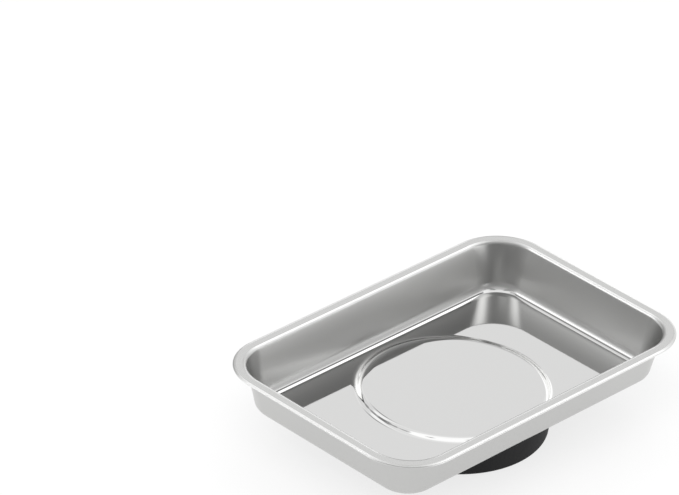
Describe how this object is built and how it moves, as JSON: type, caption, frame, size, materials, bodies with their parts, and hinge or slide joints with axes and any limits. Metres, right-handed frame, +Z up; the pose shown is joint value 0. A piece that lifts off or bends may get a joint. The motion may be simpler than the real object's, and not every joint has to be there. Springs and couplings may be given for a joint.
{
  "type": "magnetic parts tray",
  "caption": "Small rectangular stainless steel tray with rounded corners, a raised round step in its floor and a round rubber-covered magnet base, for holding loose small steel parts.",
  "frame": {"origin": "centre of the rubber base's underside, on the surface that the tray stands on", "axes": "+X along the tray's long side, +Y along its short side, +Z up, out of the open top"},
  "size_m": [0.14, 0.095, 0.0302],
  "materials": {
    "stainless_steel": "polished floor and rim, satin walls",
    "adhesive": "cured, waxy",
    "plated_steel": "bright zinc plate",
    "ferrite": "ground, matt",
    "black_rubber": "moulded, matt"
  },
  "bodies": {
    "root": {"pan": "stainless_steel", "pan_bond": "adhesive", "keeper_plate": "plated_steel", "ring_magnet": "ferrite", "boot_bond": "adhesive", "rubber_boot": "black_rubber"}
  },
  "joints": []
}
